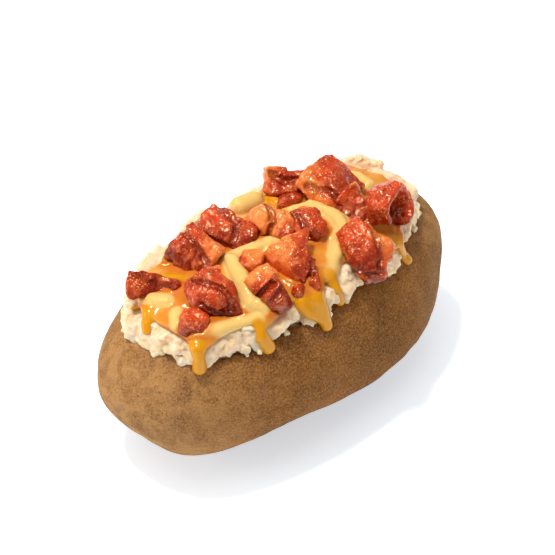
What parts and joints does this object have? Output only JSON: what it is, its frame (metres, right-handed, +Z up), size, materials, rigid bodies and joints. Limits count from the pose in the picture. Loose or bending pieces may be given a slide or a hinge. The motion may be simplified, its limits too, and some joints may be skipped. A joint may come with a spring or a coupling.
{
  "type": "baked potato",
  "caption": "Baked potato in its skin, split along the top and fluffed, with melted cheese sauce and chopped bacon lying on the flesh. Rests on its rounded underside.",
  "frame": {"origin": "on the floor, under the middle of the potato's outline seen from above", "axes": "+X along the potato, +Y across it, +Z up through the split"},
  "size_m": [0.1346, 0.072, 0.0779],
  "materials": {
    "skin": "matt, dry baked potato skin, brown with fine speckle",
    "flesh": "matt, fluffy cream-coloured baked potato flesh",
    "cheese": "glossy melted cheese sauce, pale orange-yellow",
    "bacon": "glossy fried bacon, red-brown lean with orange fat"
  },
  "bodies": {
    "root": {"potato": "skin", "flesh": "flesh", "cheese": "cheese", "bacon_01": "bacon", "bacon_02": "bacon", "bacon_03": "bacon", "bacon_04": "bacon", "bacon_05": "bacon", "bacon_06": "bacon", "bacon_07": "bacon", "bacon_08": "bacon", "bacon_09": "bacon", "bacon_10": "bacon", "bacon_11": "bacon", "bacon_12": "bacon", "bacon_13": "bacon", "bacon_14": "bacon", "bacon_15": "bacon"}
  },
  "joints": []
}
